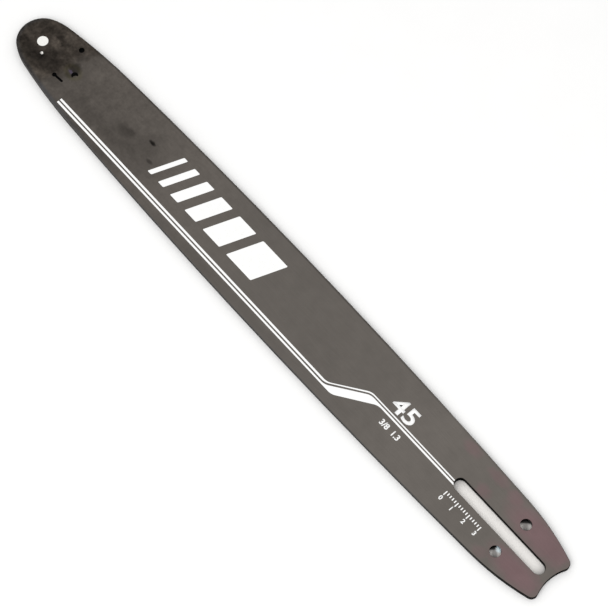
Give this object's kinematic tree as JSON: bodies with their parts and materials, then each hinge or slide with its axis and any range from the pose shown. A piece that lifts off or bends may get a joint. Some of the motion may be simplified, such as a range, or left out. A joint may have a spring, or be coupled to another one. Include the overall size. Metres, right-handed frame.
{
  "type": "chainsaw guide bar",
  "caption": "Laminated chainsaw guide bar with a chain groove round its edge, a free-running sprocket in its rounded nose, a stud slot and tensioner holes at its hollowed tail.",
  "frame": {"origin": "On the back face, in the stud slot, midway between the two tensioner holes at the tail.", "axes": "+X along the bar to the nose, +Y across it, +Z through the thickness and out of the printed face; the bar lies flat on its back face."},
  "size_m": [0.5097, 0.0574, 0.0041],
  "materials": {
    "plate_paint": "satin grey paint",
    "core_steel": "bare rolled steel",
    "rivet_steel": "bright ground steel",
    "bearing_steel": "ground bearing steel",
    "sprocket_steel": "stamped hardened steel"
  },
  "bodies": {
    "bar": {"front_side_plate": "plate_paint", "back_side_plate": "plate_paint", "core_plate": "core_steel", "hub_rivet": "rivet_steel", "bearing_race": "bearing_steel"},
    "sprocket": {"nose_sprocket": "sprocket_steel"},
    "rollers": {"bearing_roller_01": "bearing_steel", "bearing_roller_02": "bearing_steel", "bearing_roller_03": "bearing_steel", "bearing_roller_04": "bearing_steel", "bearing_roller_05": "bearing_steel", "bearing_roller_06": "bearing_steel", "bearing_roller_07": "bearing_steel", "bearing_roller_08": "bearing_steel", "bearing_roller_09": "bearing_steel", "bearing_roller_10": "bearing_steel", "bearing_roller_11": "bearing_steel", "bearing_roller_12": "bearing_steel", "bearing_roller_13": "bearing_steel", "bearing_roller_14": "bearing_steel", "bearing_roller_15": "bearing_steel", "bearing_roller_16": "bearing_steel", "bearing_roller_17": "bearing_steel", "bearing_roller_18": "bearing_steel", "bearing_roller_19": "bearing_steel", "bearing_roller_20": "bearing_steel", "bearing_roller_21": "bearing_steel", "bearing_roller_22": "bearing_steel"}
  },
  "joints": [
    {"name": "sprocket_spin", "type": "hinge", "parent": "bar", "child": "sprocket", "pos_m": [0.4556, 0, 0.00205], "axis": [0, 0, 1], "continuous": true},
    {"name": "roller_orbit", "type": "hinge", "parent": "bar", "child": "rollers", "pos_m": [0.4556, 0, 0.00205], "axis": [0, 0, 1], "continuous": true}
  ],
  "couplings": [
    {"joint": "roller_orbit", "follows": "sprocket_spin", "ratio": 0.5694}
  ]
}
